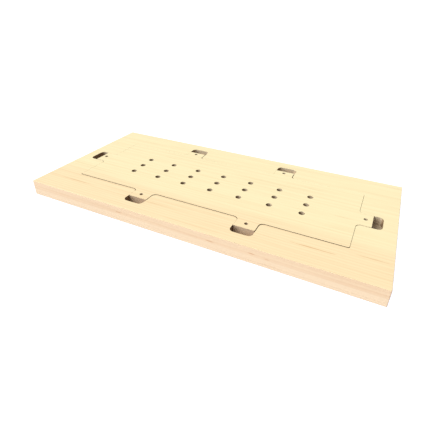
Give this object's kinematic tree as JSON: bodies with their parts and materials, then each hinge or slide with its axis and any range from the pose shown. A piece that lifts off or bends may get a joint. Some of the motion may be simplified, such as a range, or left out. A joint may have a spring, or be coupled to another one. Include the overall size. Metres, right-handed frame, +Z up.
{
  "type": "transfer board",
  "caption": "Long pale wooden slab with a flush lift-out panel, held by sunk screws in its lugs beside finger notches, and rows of plain round holes.",
  "frame": {"origin": "centre of the underside, the face that the board rests on", "axes": "+X along the board's length to the right, +Y across its width to the back edge, +Z up through its thickness"},
  "size_m": [0.6, 0.285, 0.027],
  "materials": {
    "top_wood": "planed and sanded pale softwood",
    "bottom_wood": "planed and sanded pale softwood",
    "black_steel": "black oxide",
    "insert_brass": "turned"
  },
  "bodies": {
    "slab": {"bottom_board": "bottom_wood", "top_frame": "top_wood", "insert_front_left": "insert_brass", "insert_front_right": "insert_brass", "insert_right_end": "insert_brass", "insert_back_right": "insert_brass", "insert_back_left": "insert_brass", "insert_left_end": "insert_brass"},
    "panel": {"lift_out_panel": "top_wood"},
    "front_left_screw": {"screw_front_left": "black_steel"},
    "front_right_screw": {"screw_front_right": "black_steel"},
    "right_end_screw": {"screw_right_end": "black_steel"},
    "back_right_screw": {"screw_back_right": "black_steel"},
    "back_left_screw": {"screw_back_left": "black_steel"},
    "left_end_screw": {"screw_left_end": "black_steel"}
  },
  "joints": [
    {"name": "panel_lift", "type": "slide", "parent": "slab", "child": "panel", "axis": [0, 0, 1], "range_m": [0, 0.04]},
    {"name": "front_left_screw_out", "type": "slide", "parent": "panel", "child": "front_left_screw", "axis": [0, 0, 1], "range_m": [0, 0.022]},
    {"name": "front_right_screw_out", "type": "slide", "parent": "panel", "child": "front_right_screw", "axis": [0, 0, 1], "range_m": [0, 0.022]},
    {"name": "right_end_screw_out", "type": "slide", "parent": "panel", "child": "right_end_screw", "axis": [0, 0, 1], "range_m": [0, 0.022]},
    {"name": "back_right_screw_out", "type": "slide", "parent": "panel", "child": "back_right_screw", "axis": [0, 0, 1], "range_m": [0, 0.022]},
    {"name": "back_left_screw_out", "type": "slide", "parent": "panel", "child": "back_left_screw", "axis": [0, 0, 1], "range_m": [0, 0.022]},
    {"name": "left_end_screw_out", "type": "slide", "parent": "panel", "child": "left_end_screw", "axis": [0, 0, 1], "range_m": [0, 0.022]}
  ]
}
